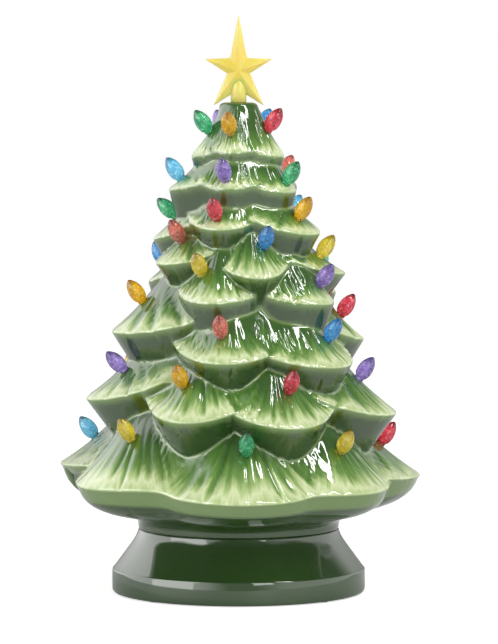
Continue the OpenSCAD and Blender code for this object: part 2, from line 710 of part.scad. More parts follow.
module contact_springs() {
  length = contact_room - 2 * plate_t - 2 * slip_gap;
  color("silver") for (i = [0:2]) at_cell(i)
    translate([slip_gap + plate_t - room_x / 2, 0, 0]) spring(length);
}

module power_switch() {
  window_x = button_x + switch_travel + 2 * fit_gap;
  window_y = button_y + 2 * fit_gap;
  color("dimgray") translate([0, switch_at, cover_top]) {
    difference() {
      translate([-switch_x / 2, -switch_y / 2, 0]) cube([switch_x, switch_y, switch_h]);
      translate([-window_x / 2, -window_y / 2, -over]) cube([window_x, window_y, button_in + over]);
    }
    for (x = [-1:1]) translate([x * switch_x / 4, 0, switch_h])
      cylinder(r = terminal_r, h = terminal_h, $fn = 16);
  }
}

// Button at its off end
module switch_slider() {
  color("black") translate([-(button_x + switch_travel) / 2, switch_at - button_y / 2,
      cover_z + button_sink])
    cube([button_x, button_y, cover_t - button_sink + button_in - fit_gap]);
}

tree_shell();
base();
star();
bulbs("green", "limegreen");  // bulbs_green
bulbs("amber", "orange");  // bulbs_amber
bulbs("red", "crimson");  // bulbs_red
bulbs("coral", "salmon");  // bulbs_coral
bulbs("sky", "deepskyblue");  // bulbs_sky
bulbs("blue", "royalblue");  // bulbs_blue
bulbs("purple", "mediumpurple");  // bulbs_purple
bulbs("yellow", "gold");  // bulbs_yellow
light_platform();
led_post();
led_strips();
leds();
driver_board();
board_parts();
board_screws();
lead_wires();
bottom_cover();
battery_door();
cells();
contact_plates();
contact_springs();
power_switch();
switch_slider();
cover_screws();
foot_pads();
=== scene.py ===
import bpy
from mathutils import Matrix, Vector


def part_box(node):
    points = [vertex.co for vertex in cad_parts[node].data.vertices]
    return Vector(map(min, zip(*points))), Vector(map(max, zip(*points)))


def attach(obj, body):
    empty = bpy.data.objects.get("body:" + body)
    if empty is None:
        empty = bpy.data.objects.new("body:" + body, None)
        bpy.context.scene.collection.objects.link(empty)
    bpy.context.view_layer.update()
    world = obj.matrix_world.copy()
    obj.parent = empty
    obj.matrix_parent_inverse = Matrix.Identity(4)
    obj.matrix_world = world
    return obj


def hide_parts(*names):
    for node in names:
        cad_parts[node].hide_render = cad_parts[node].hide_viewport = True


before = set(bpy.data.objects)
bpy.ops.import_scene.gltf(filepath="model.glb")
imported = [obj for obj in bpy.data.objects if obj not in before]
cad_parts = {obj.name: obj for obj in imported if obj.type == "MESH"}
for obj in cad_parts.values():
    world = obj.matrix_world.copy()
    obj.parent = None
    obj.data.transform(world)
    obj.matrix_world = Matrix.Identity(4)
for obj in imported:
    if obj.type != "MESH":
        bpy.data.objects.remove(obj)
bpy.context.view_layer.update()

import math
import random

import bmesh
import bpy
import numpy as np
from mathutils import Matrix, Vector

# The camera stands level with the star, well back, and looks a little down at the tree. Its long
# lens flattens the tree as a product photograph does.
camera_distance = 2.841
camera_height = 0.370
film_height = 24
view_angle = 7.955
camera_data = bpy.data.cameras.new("camera")
camera = bpy.data.objects.new("camera", camera_data)
bpy.context.scene.collection.objects.link(camera)
bpy.context.scene.camera = camera
camera.location = (0, -camera_distance, camera_height)
aim = Vector((0.0064, 0, 0.1666))
camera.rotation_euler = (aim - camera.location).to_track_quat("-Z", "Y").to_euler()
camera_data.sensor_fit = "VERTICAL"
camera_data.sensor_height = film_height
camera_data.lens = film_height / 2 / math.tan(math.radians(view_angle / 2))

# The base is one slip casting, glazed a single dark green: an upright band, a cone and a neck.
# The glaze has run back from its edges, so the clay's corners are soft.


def new_material(name, colour, roughness, **sockets):
    """A Principled material with plain values; returns it, its node tree and its shader."""
    material = bpy.data.materials.new(name)
    material.use_nodes = True
    tree = material.node_tree
    shader = tree.nodes["Principled BSDF"]
    shader.inputs["Base Color"].default_value = (*colour, 1)
    shader.inputs["Roughness"].default_value = roughness
    for socket, value in sockets.items():
        shader.inputs[socket.replace("_", " ")].default_value = value
    return material, tree, shader


def add_node(tree, kind, inputs=(), **settings):
    """A node with its settings; inputs are pairs of a socket and a value or another's output."""
    node = tree.nodes.new(kind)
    for key, value in settings.items():
        setattr(node, key, value)
    for socket, value in inputs:
        if isinstance(value, bpy.types.NodeSocket):
            tree.links.new(value, node.inputs[socket])
        else:
            node.inputs[socket].default_value = value
    return node


def mixed(tree, factor, first, second):
    """The colour output of a Mix node over two colours."""
    node = add_node(tree, "ShaderNodeMix", data_type="RGBA")
    for socket, value in ((0, factor), (6, first), (7, second)):
        if isinstance(value, bpy.types.NodeSocket):
            tree.links.new(value, node.inputs[socket])
        else:
            node.inputs[socket].default_value = value if socket == 0 else (*value, 1)
    return node.outputs[2]


def curve_through(points, steps):
    """Points on a smooth line through the given ones, steps to each stretch."""
    ends = [points[0]] + list(points) + [points[-1]]
    line = []
    for i in range(1, len(ends) - 2):
        a, b, c, d = (np.array(p, float) for p in ends[i - 1:i + 3])
        for t in np.arange(steps) / steps:
            line.append(tuple(b + 0.5 * t * (c - a + t * (2 * a - 5 * b + 4 * c - d
                                                          + t * (3 * (b - c) + d - a)))))
    return line + [tuple(points[-1])]


def spun(outline, steps, closed=False):
    """A mesh turned from an outline of radii and heights, with smooth faces."""
    mesh = bmesh.new()
    line = [mesh.verts.new((r, 0, z)) for r, z in outline]
    edges = [mesh.edges.new(pair) for pair in zip(line, line[1:])]
    if closed:
        edges.append(mesh.edges.new((line[-1], line[0])))
    bmesh.ops.spin(mesh, geom=line + edges, cent=(0, 0, 0), axis=(0, 0, 1),
                   angle=math.tau, steps=steps, use_merge=True)
    bmesh.ops.remove_doubles(mesh, verts=mesh.verts, dist=1e-6)
    bmesh.ops.recalc_face_normals(mesh, faces=mesh.faces)
    for face in mesh.faces:
        face.smooth = True
    return mesh


def placed(name, mesh, body, material, *nodes, slot):
    """Links a finished mesh as a piece that rides on a body and stands for CAD nodes."""
    data = bpy.data.meshes.new(name)
    mesh.to_mesh(data)
    mesh.free()
    data.materials.append(material)
    piece = bpy.data.objects.new(name, data)
    bpy.context.scene.collection.objects.link(piece)
    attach(piece, body)
    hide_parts(*nodes)


def ripple_group():
    """Soft waves of a hand-dipped glaze: puts out a height and a slow mottle."""
    group = bpy.data.node_groups.new("glaze_ripple", "ShaderNodeTree")
    for name, way in (("Size", "INPUT"), ("Height", "OUTPUT"), ("Mottle", "OUTPUT")):
        group.interface.new_socket(name, in_out=way, socket_type="NodeSocketFloat")
    ends = group.nodes.new("NodeGroupInput"), group.nodes.new("NodeGroupOutput")
    place = group.nodes.new("ShaderNodeTexCoord")
    waves = add_node(group, "ShaderNodeTexNoise", [
        ("Vector", place.outputs["Object"]), ("Scale", ends[0].outputs["Size"]), ("Detail", 1.5),
        ("Roughness", 0.4)])
    slow = add_node(group, "ShaderNodeTexNoise", [
        ("Vector", place.outputs["Object"]), ("Scale", 14.0), ("Detail", 2.0)])
    group.links.new(waves.outputs["Fac"], ends[1].inputs["Height"])
    group.links.new(slow.outputs["Fac"], ends[1].inputs["Mottle"])
    return group


glaze_ripple = ripple_group()

MM = 0.001
foot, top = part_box("base")
base_radius = top.x
seam_z = 39.6 * MM
neck_radius = 61.9 * MM
collar_radius = 55.4 * MM
collar_bore = 50.4 * MM
cover_bore = 66.3 * MM
rebate_radius = cover_bore - 5.8 * MM
room_radius = 72.5 * MM
clay_edge = 0.6 * MM
# Soft corners: mm in from the band's radius or out from the neck's, and mm up from the foot
foot_corner = [(1.2, 0.3), (0.3, 1.2), (0, 2.6)]
shoulder = [(0, 13.8), (0.3, 14.6), (1.0, 15.2)]
neck_flare = [(4.8, 29.8), (2.9, 32.6), (1.4, 35.2), (0.5, 37.4), (0, 39.0)]
base_outline = curve_through([(cover_bore + 2 * MM, foot.z), (base_radius - 2.2 * MM, foot.z)],
                             steps=3)
for corner in (foot_corner, shoulder):
    base_outline += curve_through([(base_radius - inset * MM, foot.z + up * MM)
                                   for inset, up in corner], steps=3)
base_outline += curve_through([(neck_radius + out * MM, z * MM) for out, z in neck_flare],
                              steps=4)
base_outline += [(neck_radius - 0.2 * MM, 39.4 * MM), (neck_radius - clay_edge, seam_z),
                 (collar_radius, seam_z), (collar_radius, top.z - clay_edge),
                 (collar_radius - clay_edge, top.z), (collar_bore + clay_edge, top.z),
                 (collar_bore, top.z - clay_edge), (collar_bore, 30.5 * MM),
                 (room_radius, 12.5 * MM), (room_radius, 10.5 * MM), (rebate_radius, 7.8 * MM),
                 (rebate_radius, 4.3 * MM), (cover_bore, 4.3 * MM), (cover_bore, foot.z + 1 * MM)]

base_glaze, tree, shader = new_material("base_glaze", (0.030, 0.085, 0.018), roughness=0.06,
                                        IOR=1.8)
ripple = add_node(tree, "ShaderNodeGroup", node_tree=glaze_ripple)
ripple.inputs["Size"].default_value = 26
tree.links.new(mixed(tree, ripple.outputs["Mottle"], (0.014, 0.042, 0.006), (0.026, 0.068, 0.012)),
               shader.inputs["Base Color"])
bump = add_node(tree, "ShaderNodeBump", [("Height", ripple.outputs["Height"]), ("Strength", 0.15),
                                         ("Distance", 1.2 * MM)])
tree.links.new(bump.outputs["Normal"], shader.inputs["Normal"])
placed("base_casting", spun(base_outline, steps=224, closed=True), "base", base_glaze, "base",
       slot="glazed_base")

# The light unit stands on the base's collar: a white moulded platform with a mast, three circuit
# strips and their lamps, and the driver board below. The battery box closes the foot.


def speckle_group():
    """Fine grain of moulded plastic, metal or board: puts out a grain and a height."""
    group = bpy.data.node_groups.new("moulded_grain", "ShaderNodeTree")
    for name, way in (("Size", "INPUT"), ("Grain", "OUTPUT"), ("Height", "OUTPUT")):
        group.interface.new_socket(name, in_out=way, socket_type="NodeSocketFloat")
    ends = group.nodes.new("NodeGroupInput"), group.nodes.new("NodeGroupOutput")
    place = group.nodes.new("ShaderNodeTexCoord")
    grain = add_node(group, "ShaderNodeTexNoise", [
        ("Vector", place.outputs["Object"]), ("Scale", ends[0].outputs["Size"]), ("Detail", 3.0)])
    spread = add_node(group, "ShaderNodeMapRange", [
        ("Value", grain.outputs["Fac"]), ("From Min", 0.35), ("From Max", 0.65)])
    group.links.new(spread.outputs["Result"], ends[1].inputs["Grain"])
    group.links.new(grain.outputs["Fac"], ends[1].inputs["Height"])
    return group


moulded_grain = speckle_group()


def grained(name, dark, light, roughness, size, bump_depth, **sockets):
    """A material whose colour wanders between two near shades, with a fine bump."""
    material, tree, shader = new_material(name, light, roughness, **sockets)
    grain = add_node(tree, "ShaderNodeGroup", node_tree=moulded_grain)
    grain.inputs["Size"].default_value = size
    tree.links.new(mixed(tree, grain.outputs["Grain"], dark, light), shader.inputs["Base Color"])
    bump = add_node(tree, "ShaderNodeBump", [("Height", grain.outputs["Height"]), ("Strength", 0.3),
                                             ("Distance", bump_depth)])
    tree.links.new(bump.outputs["Normal"], shader.inputs["Normal"])
    return material


def dressed(material, *names):
    """Gives a material to CAD nodes that keep their own shape."""
    for name in names:
        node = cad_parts[name]
        node.data.materials.clear()
        node.data.materials.append(material)


# Dark and light shade, roughness, grain size and the bump's depth in metres
white_plastic = grained("white_moulding", (0.70, 0.70, 0.68), (0.80, 0.80, 0.78),
                        0.42, 900, 0.0001)
ivory_plastic = grained("ivory_moulding", (0.66, 0.63, 0.55), (0.75, 0.72, 0.64),
                        0.45, 800, 0.00015)
black_plastic = grained("black_moulding", (0.012, 0.012, 0.013), (0.025, 0.025, 0.027),
                        0.4, 900, 0.0001)
steel = grained("plated_steel", (0.50, 0.50, 0.52), (0.66, 0.66, 0.68),
                0.28, 1400, 0.00005, Metallic=1.0)
board_green = grained("board_lacquer", (0.010, 0.110, 0.045), (0.020, 0.170, 0.070),
                      0.3, 500, 0.00006)
strip_white = grained("strip_lacquer", (0.66, 0.70, 0.66), (0.80, 0.83, 0.80), 0.35, 600, 0.00006)
wire_red = grained("wire_sleeve", (0.30, 0.010, 0.008), (0.42, 0.018, 0.014), 0.4, 900, 0.00005)
cell_jacket = grained("cell_jacket", (0.020, 0.022, 0.026), (0.045, 0.048, 0.055),
                      0.3, 300, 0.00004)
clear_rubber = grained("bumper", (0.62, 0.63, 0.62), (0.74, 0.75, 0.74), 0.35, 500, 0.00008)
lamp_lens = grained("lamp_lens", (0.78, 0.74, 0.58), (0.88, 0.85, 0.70), 0.12, 700, 0.00004)
dressed(white_plastic, "light_platform", "led_post")
dressed(ivory_plastic, "bottom_cover", "battery_door")
dressed(black_plastic, "board_parts", "power_switch", "switch_slider")
dressed(steel, "board_screws", "cover_screws", "contact_plates", "contact_springs")
dressed(board_green, "driver_board")
dressed(strip_white, "led_strips")
dressed(lamp_lens, "leds")
dressed(wire_red, "lead_wires")
dressed(cell_jacket, "cells")
dressed(clear_rubber, "foot_pads")

# The boughs are one hollow slip casting: eight tiers of overlapping fans with needle grooves, a
# rounded lip and a smooth cup under each. The dark glaze is sprayed thin at the lips.

cap_z = 301.5 * MM
cap_radius = 12.5 * MM
skirt_radius = 128 * MM
crown_radius = 15.7 * MM
neck_height = 2 * MM
wall = 7 * MM
lip_round = 2.8 * MM
bulb_length = 16.5 * MM
nose_share = 0.35
trunk_share = 0.7
front_spread = 60
hem_blend = 2.5
valley_limit = 1.6
# A tier has its valleys' lift and depth, its undersides' run and its boughs. A bough has its turn,
# its lip's level and reach, its half spread, its top's run, its bulb's colour, the bulb's height
# above the lip in bulb lengths, the bulb's turn from the ridge and, if unusual, its slope.
tier_shares = [
    [0.07, 0.13, 0.28, [
        [-79, 0.878, 1.01, 36, 0.75, "green", 0.9, 0],
        [-10, 0.888, 1.00, 34, 0.60, "amber", 0.72, -4],
        [64, 0.878, 1.02, 36, 0.60, "red", 0.98, 0],
        [137, 0.882, 1.01, 36, 0.65, "blue", 0.85, 0],
        [209, 0.876, 1.02, 36, 0.70, "purple", 0.9, 0]]],
    [0.08, 0.14, 0.25, [
        [-86, 0.800, 1.13, 36, 1.20, "sky", 0.38, 0],
        [-12, 0.806, 1.03, 34, 0.80, "purple", 0.33, -2],
        [54, 0.796, 1.03, 34, 0.80, "green", 0.34, 2],
        [130, 0.800, 1.07, 37, 0.90, "coral", 0.4, 0],
        [202, 0.803, 1.05, 36, 0.90, "yellow", 0.36, 0]]],
    [0.11, 0.18, 0.55, [
        [-100, 0.681, 1.04, 38, 1.00, "green", 0.85, 0, 42],
        [-17, 0.712, 0.98, 36, 0.90, "red", 0.4, -2],
        [62, 0.698, 1.09, 38, 1.10, "amber", 0.6, -4],
        [130, 0.693, 1.03, 36, 1.00, "sky", 0.6, 0],
        [195, 0.700, 1.02, 36, 1.00, "purple", 0.6, 0]]],
    [0.09, 0.20, 0.75, [
        [-58, 0.629, 1.00, 31, 1.10, "coral", 0.85, 2],
        [13, 0.603, 1.02, 24, 0.90, "blue", 1.1, 8],
        [86, 0.602, 1.10, 32, 1.40, "yellow", 0.66, -6],
        [150, 0.612, 1.04, 32, 1.00, "red", 0.7, 0],
        [222, 0.612, 1.03, 32, 1.10, "amber", 0.8, 0]]],
    [0.05, 0.20, 0.35, [
        [-16, 0.547, 1.01, 26, 0.90, "yellow", 1.0, -11],
        [52, 0.540, 1.03, 27, 0.85, "purple", 0.66, 5],
        [122, 0.551, 1.02, 34, 1.00, "green", 0.7, 0],
        [178, 0.545, 1.00, 30, 0.95, "coral", 0.7, 0],
        [233, 0.574, 1.03, 30, 1.00, "blue", 0.7, 0]]],
    [0.08, 0.20, 0.63, [
        [-78, 0.467, 1.05, 42, 1.00, "amber", 1.15, 0],
        [-7, 0.412, 1.00, 28, 0.90, "coral", 0.97, -2],
        [46, 0.398, 1.03, 31, 1.05, "blue", 0.95, 7],
        [104, 0.442, 1.02, 28, 1.00, "red", 0.9, 0],
        [158, 0.422, 1.02, 30, 1.00, "yellow", 0.95, 0],
        [222, 0.422, 1.02, 34, 1.00, "green", 0.95, 0]]],
    [0.09, 0.18, 0.75, [
        [-78, 0.312, 1.03, 31, 1.15, "purple", 1.1, 6, 45],
        [-21, 0.280, 1.00, 24, 1.00, "amber", 1.25, -6],
        [21, 0.268, 1.01, 25, 1.00, "red", 1.25, 2],
        [75, 0.278, 1.03, 31, 1.10, "purple", 1.3, 2],
        [128, 0.284, 1.02, 27, 1.10, "green", 1.25, 0],
        [180, 0.276, 1.01, 27, 1.10, "sky", 1.25, 0],
        [232, 0.288, 1.01, 27, 1.10, "yellow", 0.9, 0]]],
    [0.02, 0.12, 1.00, [
        [-108, 0.145, 1.03, 28, 1.30, "sky", 0.98, 0, 49],
        [-56, 0.118, 0.97, 29, 0.85, "yellow", 1.79, 6],
        [2, 0.101, 0.97, 30, 0.95, "green", 1.71, 1],
        [47, 0.112, 0.95, 28, 0.90, "yellow", 1.48, -2],
        [101, 0.120, 1.00, 30, 1.25, "red", 1.19, 0],
        [153, 0.125, 1.03, 28, 1.10, "coral", 1.28, 0],
        [204, 0.132, 1.04, 27, 1.10, "purple", 1.23, 0]]],
]


def level(share):
    """Height of a share of the way from the seam to the cap."""
    return seam_z + share * (cap_z - seam_z)


def cone_radius(z):
    """Radius of the plain cone that the boughs stand out from."""
    return skirt_radius + (crown_radius - skirt_radius) * (z - seam_z) / (cap_z - seam_z)


def bough_turn(bough, turns):
    """Turn from a bough's ridge as a share of its half spread."""
    return ((turns - bough[0] + 540) % 360 - 180) / bough[3]


def in_front(bough):
    """Whether a lowest bough belongs to the front hem."""
    return abs(bough[0]) < front_spread


def lip_level(tier, bough, turns):
    """Height of a bough's nose; the lowest boughs run into a front hem and a back one."""
    if tier is not tier_shares[-1]:
        return level(bough[1])
    hem = [other for other in tier[3] if in_front(other) == in_front(bough)]
    near = [np.exp(-hem_blend * bough_turn(other, turns) ** 2) for other in hem]
    return level(sum(share * other[1] for share, other in zip(near, hem)) / sum(near))


def bough_lip(tier, bough, turns):
    """Radius and height of a bough's lip at the given turns."""
    t = bough_turn(bough, turns)
    fall = ((np.sqrt(t * t + nose_share ** 2) - nose_share)
            / (math.sqrt(1 + nose_share ** 2) - nose_share))
    z = lip_level(tier, bough, turns)
    reach = cone_radius(z)
    lift = np.minimum(t * t, valley_limit)
    return reach * (bough[2] - tier[1] * fall), z + reach * tier[0] * lift


def bough_form(tier, bough, turns, heights):
    """Radius of one smooth bough, with its lip's height."""
    lip, lip_z = bough_lip(tier, bough, turns)
    above = lip - bough[4] * (heights - lip_z)
    below = lip - tier[2] * (lip_z - heights)
    blend = np.maximum(lip_round - np.abs(above - below), 0) / lip_round
    return np.minimum(above, below) - blend * blend * lip_round / 4, lip_z


def plain_radius(turns, heights):
    """Radius of the casting before its needles are carved."""
    forms = [bough_form(tier, bough, turns, heights)[0]
             for tier in tier_shares for bough in tier[3]]
    return np.max(forms + [trunk_share * cone_radius(heights)], axis=0)


# Each bough's grooves: place across the fan, half width, depth, and where they start and end
groove_depth = 1.9 * MM
belly_depth = 1.6 * MM
chance = random.Random(11)
grooves = {}
for j, tier in enumerate(tier_shares):
    for i, bough in enumerate(tier[3]):
        fan_size = min(max(cone_radius(level(bough[1])) / (70 * MM), 0.45), 1.25)
        count = int(7 + 9 * fan_size)
        places = [-1.25 + 2.5 * (n + chance.uniform(0.05, 0.95)) / count for n in range(count)]
        lines = []
        for place in places:
            width = chance.uniform(0.04, 0.10)
            depth = chance.uniform(0.3, 1) * min(0.35 + abs(place), 1)
            start = chance.uniform(-0.3, 0.5)
            end = chance.uniform(0.8, 1.4)
            lines.append((place, width, depth, start, end))
        grooves[10 * j + i] = fan_size, lines


def fan_surface(tier, bough, number, turns, heights):
    """One bough's glazed surface: radius, fade, needle, groove and underside."""
    radius, lip_z = bough_form(tier, bough, turns, heights)
    over = heights - lip_z
    fan_size, lines = grooves[number]
    fan_length = 1.35 * max(bough[6] * bulb_length, 9 * MM)
    down = np.clip(1 - over / fan_length, 0, 1)
    on_top = np.clip((over + 2.5 * MM) / (3.2 * MM), 0, 1)
    fan = bough_turn(bough, turns) / (0.42 + 0.58 * down)
    cut = np.zeros_like(heights)
    for place, width, depth, start, end in lines:
        cut += (depth * np.maximum(1 - ((fan - place) / width) ** 2, 0) ** 1.5
                * np.clip((down - start) / 0.25, 0, 1) * np.clip((end - down) / 0.2, 0, 1))
    belly = np.clip(4 * down * (1 - down), 0, 1)
    radius = radius - on_top * max(fan_size, 0.7) * (groove_depth * cut + belly_depth * belly)
    # The hem shows a broad edge before its dark underside; the other lips darken softly
    band, fading = (5.0 * MM, 1.0 * MM) if tier is tier_shares[-1] else (1.0 * MM, 4.5 * MM)
    under = (np.clip((-over - 0.2 * MM) / (1.2 * MM), 0, 1)
             + np.clip((-over - band) / fading, 0, 1)) / 2
    # Each bough's streaks start at a place of their own
    streak_place = 3 * fan * (0.6 + fan_size) + 7 * number
    return [radius, down, streak_place, cut * on_top, under]


fan_fillet = 3.4 * MM
tier_fillet = 2.4 * MM
hem_fillet = 6 * MM
hem_seam = 1.5 * MM
hem_pool = 0.1


def joined(first, second, fillet, pooled=0.4):
    """Two glazed surfaces run together: the outer one wins, and glaze pools in the valley."""
    wins = np.clip(0.5 + 0.5 * (second[0] - first[0]) / fillet, 0, 1)
    pool = 4 * wins * (1 - wins)
    radius, fade, _, groove, under = [a + wins * (b - a) for a, b in zip(first, second)]
    return [radius + fillet * pool / 4, fade * (1 - pooled * pool),
            np.where(wins > 0.5, second[2], first[2]), groove, under]


def carved(turns, heights):
    """The glazed surface: radius, fade, needle, groove and underside."""
    surface = [trunk_share * cone_radius(heights)] + [np.zeros_like(heights) for _ in range(4)]
    for j, tier in enumerate(tier_shares):
        fans = [fan_surface(tier, bough, 10 * j + i, turns, heights)
                for i, bough in enumerate(tier[3])]
        whole = fans[0]
        if tier is tier_shares[-1]:
            front = joined(fans[1], fans[2], hem_fillet, hem_pool)
            front = joined(front, fans[3], hem_fillet, hem_pool)
            for fan in fans[4:]:
                whole = joined(whole, fan, hem_fillet, hem_pool)
            whole = joined(whole, front, hem_seam, hem_pool)
        else:
            for fan in fans[1:]:
                whole = joined(whole, fan, fan_fillet)
        surface = joined(surface, whole, tier_fillet)
    return surface


# The outside runs from the cap's shoulder to just under the hem. Its rows lie closer where the
# outline turns, so they follow every lip and crease.
columns = 560
outer_rows = 130
samples = 640
bend_weight = 1.1
hem_reach = 1.3
far_away = 1000 * MM
turns = np.arange(columns) * 360 / columns
hem = np.min([bough_lip(tier_shares[-1], bough, turns)[1]
              + far_away * (abs(bough_turn(bough, turns)) > hem_reach)
              for bough in tier_shares[-1][3]], axis=0) - 0.7 * lip_round
first_row = cap_z - 0.32 * cap_radius
share = np.linspace(0, 1, samples)[:, None]
heights = first_row * (1 - share) + hem * share
outline = plain_radius(turns, heights)
rise, run = np.diff(heights, axis=0), np.diff(outline, axis=0)
slope = np.unwrap(np.arctan2(run, -rise), axis=0)
bend = np.abs(np.diff(slope, axis=0))
bend = np.vstack([bend[:1], bend])
smear = np.exp(-0.5 * (np.arange(-6, 7) / 2.6) ** 2)
bend = np.apply_along_axis(np.convolve, 0, bend, smear / smear.sum(), "same")
length = np.hypot(rise, run)
crowd = length / length.sum(axis=0) + bend_weight * bend / bend.sum(axis=0)
for _ in range(2):
    crowd = (np.roll(crowd, 1, axis=1) + 2 * crowd + np.roll(crowd, -1, axis=1)) / 4
passed = np.vstack([0 * turns, np.cumsum(crowd, axis=0)])
passed /= passed[-1]
steps = np.linspace(0, 1, outer_rows)
levels = np.array([np.interp(steps, passed[:, i], heights[:, i]) for i in range(columns)]).T

# Rows of radius, height, fade, needle, groove and underside, down the outside
radius, fade, needle, groove, under = carved(turns, levels)
inside_box = 0.1 * MM
surface = list(zip(radius - inside_box, levels, fade, needle, groove, under))


def ring(radius, z, under=1.0):
    """A row at one radius and height."""
    plain = 0 * turns
    surface.append((radius + plain, z + plain, plain, plain, plain, under + plain))


# The hem curls under to the neck, as shares of the way in and up
lip_radius, lip_z, lip_under = surface[-1][0], surface[-1][1], surface[-1][5]
underside = curve_through([(0, 0), (0.07, 0.24), (0.22, 0.45), (0.43, 0.60), (0.62, 0.68),
                           (0.80, 0.75), (0.93, 0.83), (0.99, 0.92), (1, 1)], steps=2)
for run, drop in underside[1:]:
    ring(lip_radius + run * (neck_radius - lip_radius),
         lip_z + drop * (seam_z + neck_height - lip_z),
         np.maximum(lip_under, 0.5 if drop < 0.3 else 1.0))
# The foot stands on the base's neck, and its bore fits round the base's collar
foot_bore = 56 * MM
foot_depth = 11.5 * MM
foot_edge = 0.8 * MM
for radius, z in ((neck_radius - 0.1 * MM, seam_z + foot_edge), (neck_radius - clay_edge, seam_z),
                  (foot_bore + foot_edge, seam_z), (foot_bore, seam_z + foot_edge),
                  (foot_bore, seam_z + foot_depth)):
    ring(radius, z)
# The inside stays a wall's thickness within the least radius nearby
inner_foot = 64 * MM
inner_pitch = 14 * MM
for z in np.arange(inner_foot, cap_z - 12 * MM, inner_pitch):
    near = [plain_radius(turns + turn, z + rise + 0 * turns)
            for turn in (-6, 0, 6) for rise in (-6 * MM, 0, 6 * MM)]
    ring(np.maximum(np.min(near, axis=0) - wall, cap_radius - wall / 2), z)
# The cap is pierced for the star's peg
star_bore = 3.1 * MM
star_edge = 0.4 * MM
cap_thickness = 8 * MM
for radius, z in ((cap_radius - wall / 2, cap_z - cap_thickness),
                  (star_bore, cap_z - cap_thickness), (star_bore, cap_z - star_edge),
                  (star_bore + star_edge, cap_z),
                  (0.70 * cap_radius, cap_z), (0.84 * cap_radius, cap_z - 0.04 * cap_radius),
                  (0.93 * cap_radius, cap_z - 0.13 * cap_radius)):
    ring(radius, z, 0.0)

mesh = bmesh.new()
bmesh.ops.create_grid(mesh, x_segments=columns, y_segments=len(surface), size=0.5)
layers = [mesh.verts.layers.float.new(name) for name in ("fade", "needle", "groove", "under")]
for vert in mesh.verts:
    column = round((vert.co.x + 0.5) * columns) % columns
    row = surface[round((vert.co.y + 0.5) * len(surface)) % len(surface)]
    angle = math.radians(turns[column])
    vert.co = (row[0][column] * math.sin(angle), -row[0][column] * math.cos(angle), row[1][column])
    for layer, values in zip(layers, row[2:]):
        vert[layer] = values[column]
bmesh.ops.remove_doubles(mesh, verts=mesh.verts, dist=1e-6)
bmesh.ops.recalc_face_normals(mesh, faces=mesh.faces)
for face in mesh.faces:
    face.smooth = True

bough_glaze, tree, shader = new_material("bough_glaze", (0.10, 0.22, 0.06), roughness=0.06, IOR=1.8)
fade, needle, groove, under = (
    add_node(tree, "ShaderNodeAttribute", attribute_name=name).outputs["Fac"]
    for name in ("fade", "needle", "groove", "under"))
stroke_way = add_node(tree, "ShaderNodeCombineXYZ", [("X", needle), ("Y", fade)]).outputs["Vector"]
streak = add_node(tree, "ShaderNodeTexNoise", [
    ("Vector", stroke_way), ("Scale", 2.2), ("Detail", 4.0), ("Roughness", 0.6)]).outputs["Fac"]
ripple = add_node(tree, "ShaderNodeGroup", node_tree=glaze_ripple)
ripple.inputs["Size"].default_value = 60


def sum_of(tree, first, factor, second):
    """first * factor + second, as an output."""
    return add_node(tree, "ShaderNodeMath", [(0, first), (1, factor), (2, second)],
                    operation="MULTIPLY_ADD").outputs[0]


thin = sum_of(tree, streak, 0.55, sum_of(tree, ripple.outputs["Mottle"], 0.35, -0.45))
thin = sum_of(tree, groove, -0.38, sum_of(tree, fade, 1.0, thin))
ombre = add_node(tree, "ShaderNodeValToRGB", [("Fac", thin)])
stops = ombre.color_ramp.elements
stops[0].position, stops[0].color = 0.10, (0.040, 0.105, 0.018, 1)
stops[1].position, stops[1].color = 1.00, (0.450, 0.570, 0.250, 1)
for position, colour in ((0.36, (0.075, 0.180, 0.030, 1)), (0.55, (0.150, 0.275, 0.065, 1)),
                         (0.70, (0.390, 0.510, 0.200, 1)), (0.84, (0.660, 0.740, 0.430, 1))):
    stops.new(position).color = colour
cup = mixed(tree, ripple.outputs["Mottle"], (0.018, 0.052, 0.008), (0.034, 0.080, 0.016))
over_lip, below_lip = (add_node(tree, "ShaderNodeMapRange", [
    ("Value", under), ("From Min", low), ("From Max", low + 0.5)],
    interpolation_type="SMOOTHSTEP").outputs["Result"] for low in (0.0, 0.5))
edged = mixed(tree, over_lip, ombre.outputs["Color"], (0.140, 0.235, 0.062))
tree.links.new(mixed(tree, below_lip, edged, cup), shader.inputs["Base Color"])
relief = sum_of(tree, streak, 0.10, ripple.outputs["Height"])
bump = add_node(tree, "ShaderNodeBump", [("Height", relief), ("Strength", 0.14),
                                         ("Distance", 0.9 * MM)])
tree.links.new(bump.outputs["Normal"], shader.inputs["Normal"])
placed("boughs", mesh, "tree", bough_glaze, "tree_shell", slot="glazed_boughs")

# The bulbs are moulded in clear tinted plastic, with a sharp tip and a crackle inside, each with a
# collar and a peg that is cemented into its hole. Their colour carries painted glints on random
# cells of the crackle and painted shade at the tips.

# Degrees up from level, unless a bough gives its own
bulb_slope = 55
bulb_width = 9.6 * MM
collar_width = 6 * MM
peg_width = 3.4 * MM
peg_length = 8.5 * MM
pocket_depth = 1.2 * MM
collar_height = 0.09 * bulb_length
# Shares of the half width and of the length above the collar
bulb_curve = curve_through([(0.60, 0), (0.82, 0.08), (0.94, 0.19), (1, 0.33), (0.98, 0.47),
                            (0.89, 0.61), (0.72, 0.75), (0.48, 0.87), (0.24, 0.96), (0, 1)],
                           steps=3)
bulb_outline = [(0, -peg_length), (peg_width / 2, -peg_length), (peg_width / 2, 0),
                (collar_width / 2, 0), (collar_width / 2, collar_height)]
bulb_outline += [(r * bulb_width / 2, collar_height + z * (bulb_length - collar_height))
                 for r, z in bulb_curve[1:]]


